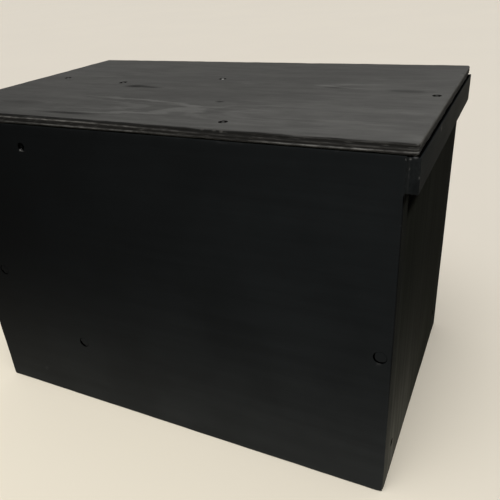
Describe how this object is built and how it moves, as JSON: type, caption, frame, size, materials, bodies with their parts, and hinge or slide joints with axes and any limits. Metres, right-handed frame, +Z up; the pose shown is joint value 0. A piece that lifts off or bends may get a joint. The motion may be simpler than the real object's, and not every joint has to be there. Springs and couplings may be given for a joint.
{
  "type": "apple box",
  "caption": "Closed black-painted plywood standing box with a screwed-on top that overhangs two end grip strips; sat, stood or set on in a studio.",
  "frame": {"origin": "on the floor, at the middle of the box's footprint", "axes": "+X along the length of the box, +Y from the front wall to the back wall, +Z up"},
  "size_m": [0.508, 0.3048, 0.35],
  "materials": {
    "lid_paint": "black satin paint over open-grained plywood, worn at the edges",
    "wall_paint": "black eggshell paint over sanded plywood",
    "bare_plywood": "bare plywood with scuffs",
    "bare_timber": "bare planed softwood",
    "screw_steel": "zinc-plated steel under black paint",
    "plug_filler": "black paint over a wooden plug"
  },
  "bodies": {
    "root": {"top_panel": "lid_paint", "front_panel": "wall_paint", "back_panel": "wall_paint", "side_panel_left": "wall_paint", "side_panel_right": "wall_paint", "base_panel": "bare_plywood", "grip_strip_left": "wall_paint", "grip_strip_right": "wall_paint", "corner_post_front_left": "bare_timber", "corner_post_front_right": "bare_timber", "corner_post_back_left": "bare_timber", "corner_post_back_right": "bare_timber", "top_cleat_front": "bare_timber", "top_cleat_back": "bare_timber", "top_cleat_left": "bare_timber", "top_cleat_right": "bare_timber", "rib_left": "bare_timber", "rib_centre": "bare_timber", "rib_right": "bare_timber", "screw_top_left": "screw_steel", "screw_top_rib_left": "screw_steel", "screw_top_rib_centre": "screw_steel", "screw_top_front": "screw_steel", "screw_top_right": "screw_steel", "screw_front_side_right": "screw_steel", "screw_front_post_left": "screw_steel", "screw_front_rib_low": "screw_steel", "screw_front_rib_high": "screw_steel", "screw_back_side_right": "screw_steel", "screw_back_post_left": "screw_steel", "screw_back_rib_low": "screw_steel", "screw_back_rib_high": "screw_steel", "screw_left_front": "screw_steel", "screw_left_back": "screw_steel", "screw_right_front": "screw_steel", "screw_right_back": "screw_steel", "plug_front_side_right": "plug_filler", "plug_front_post_left": "plug_filler", "plug_front_rib_low": "plug_filler", "plug_back_side_right": "plug_filler", "plug_back_post_left": "plug_filler", "plug_back_rib_low": "plug_filler"}
  },
  "joints": []
}
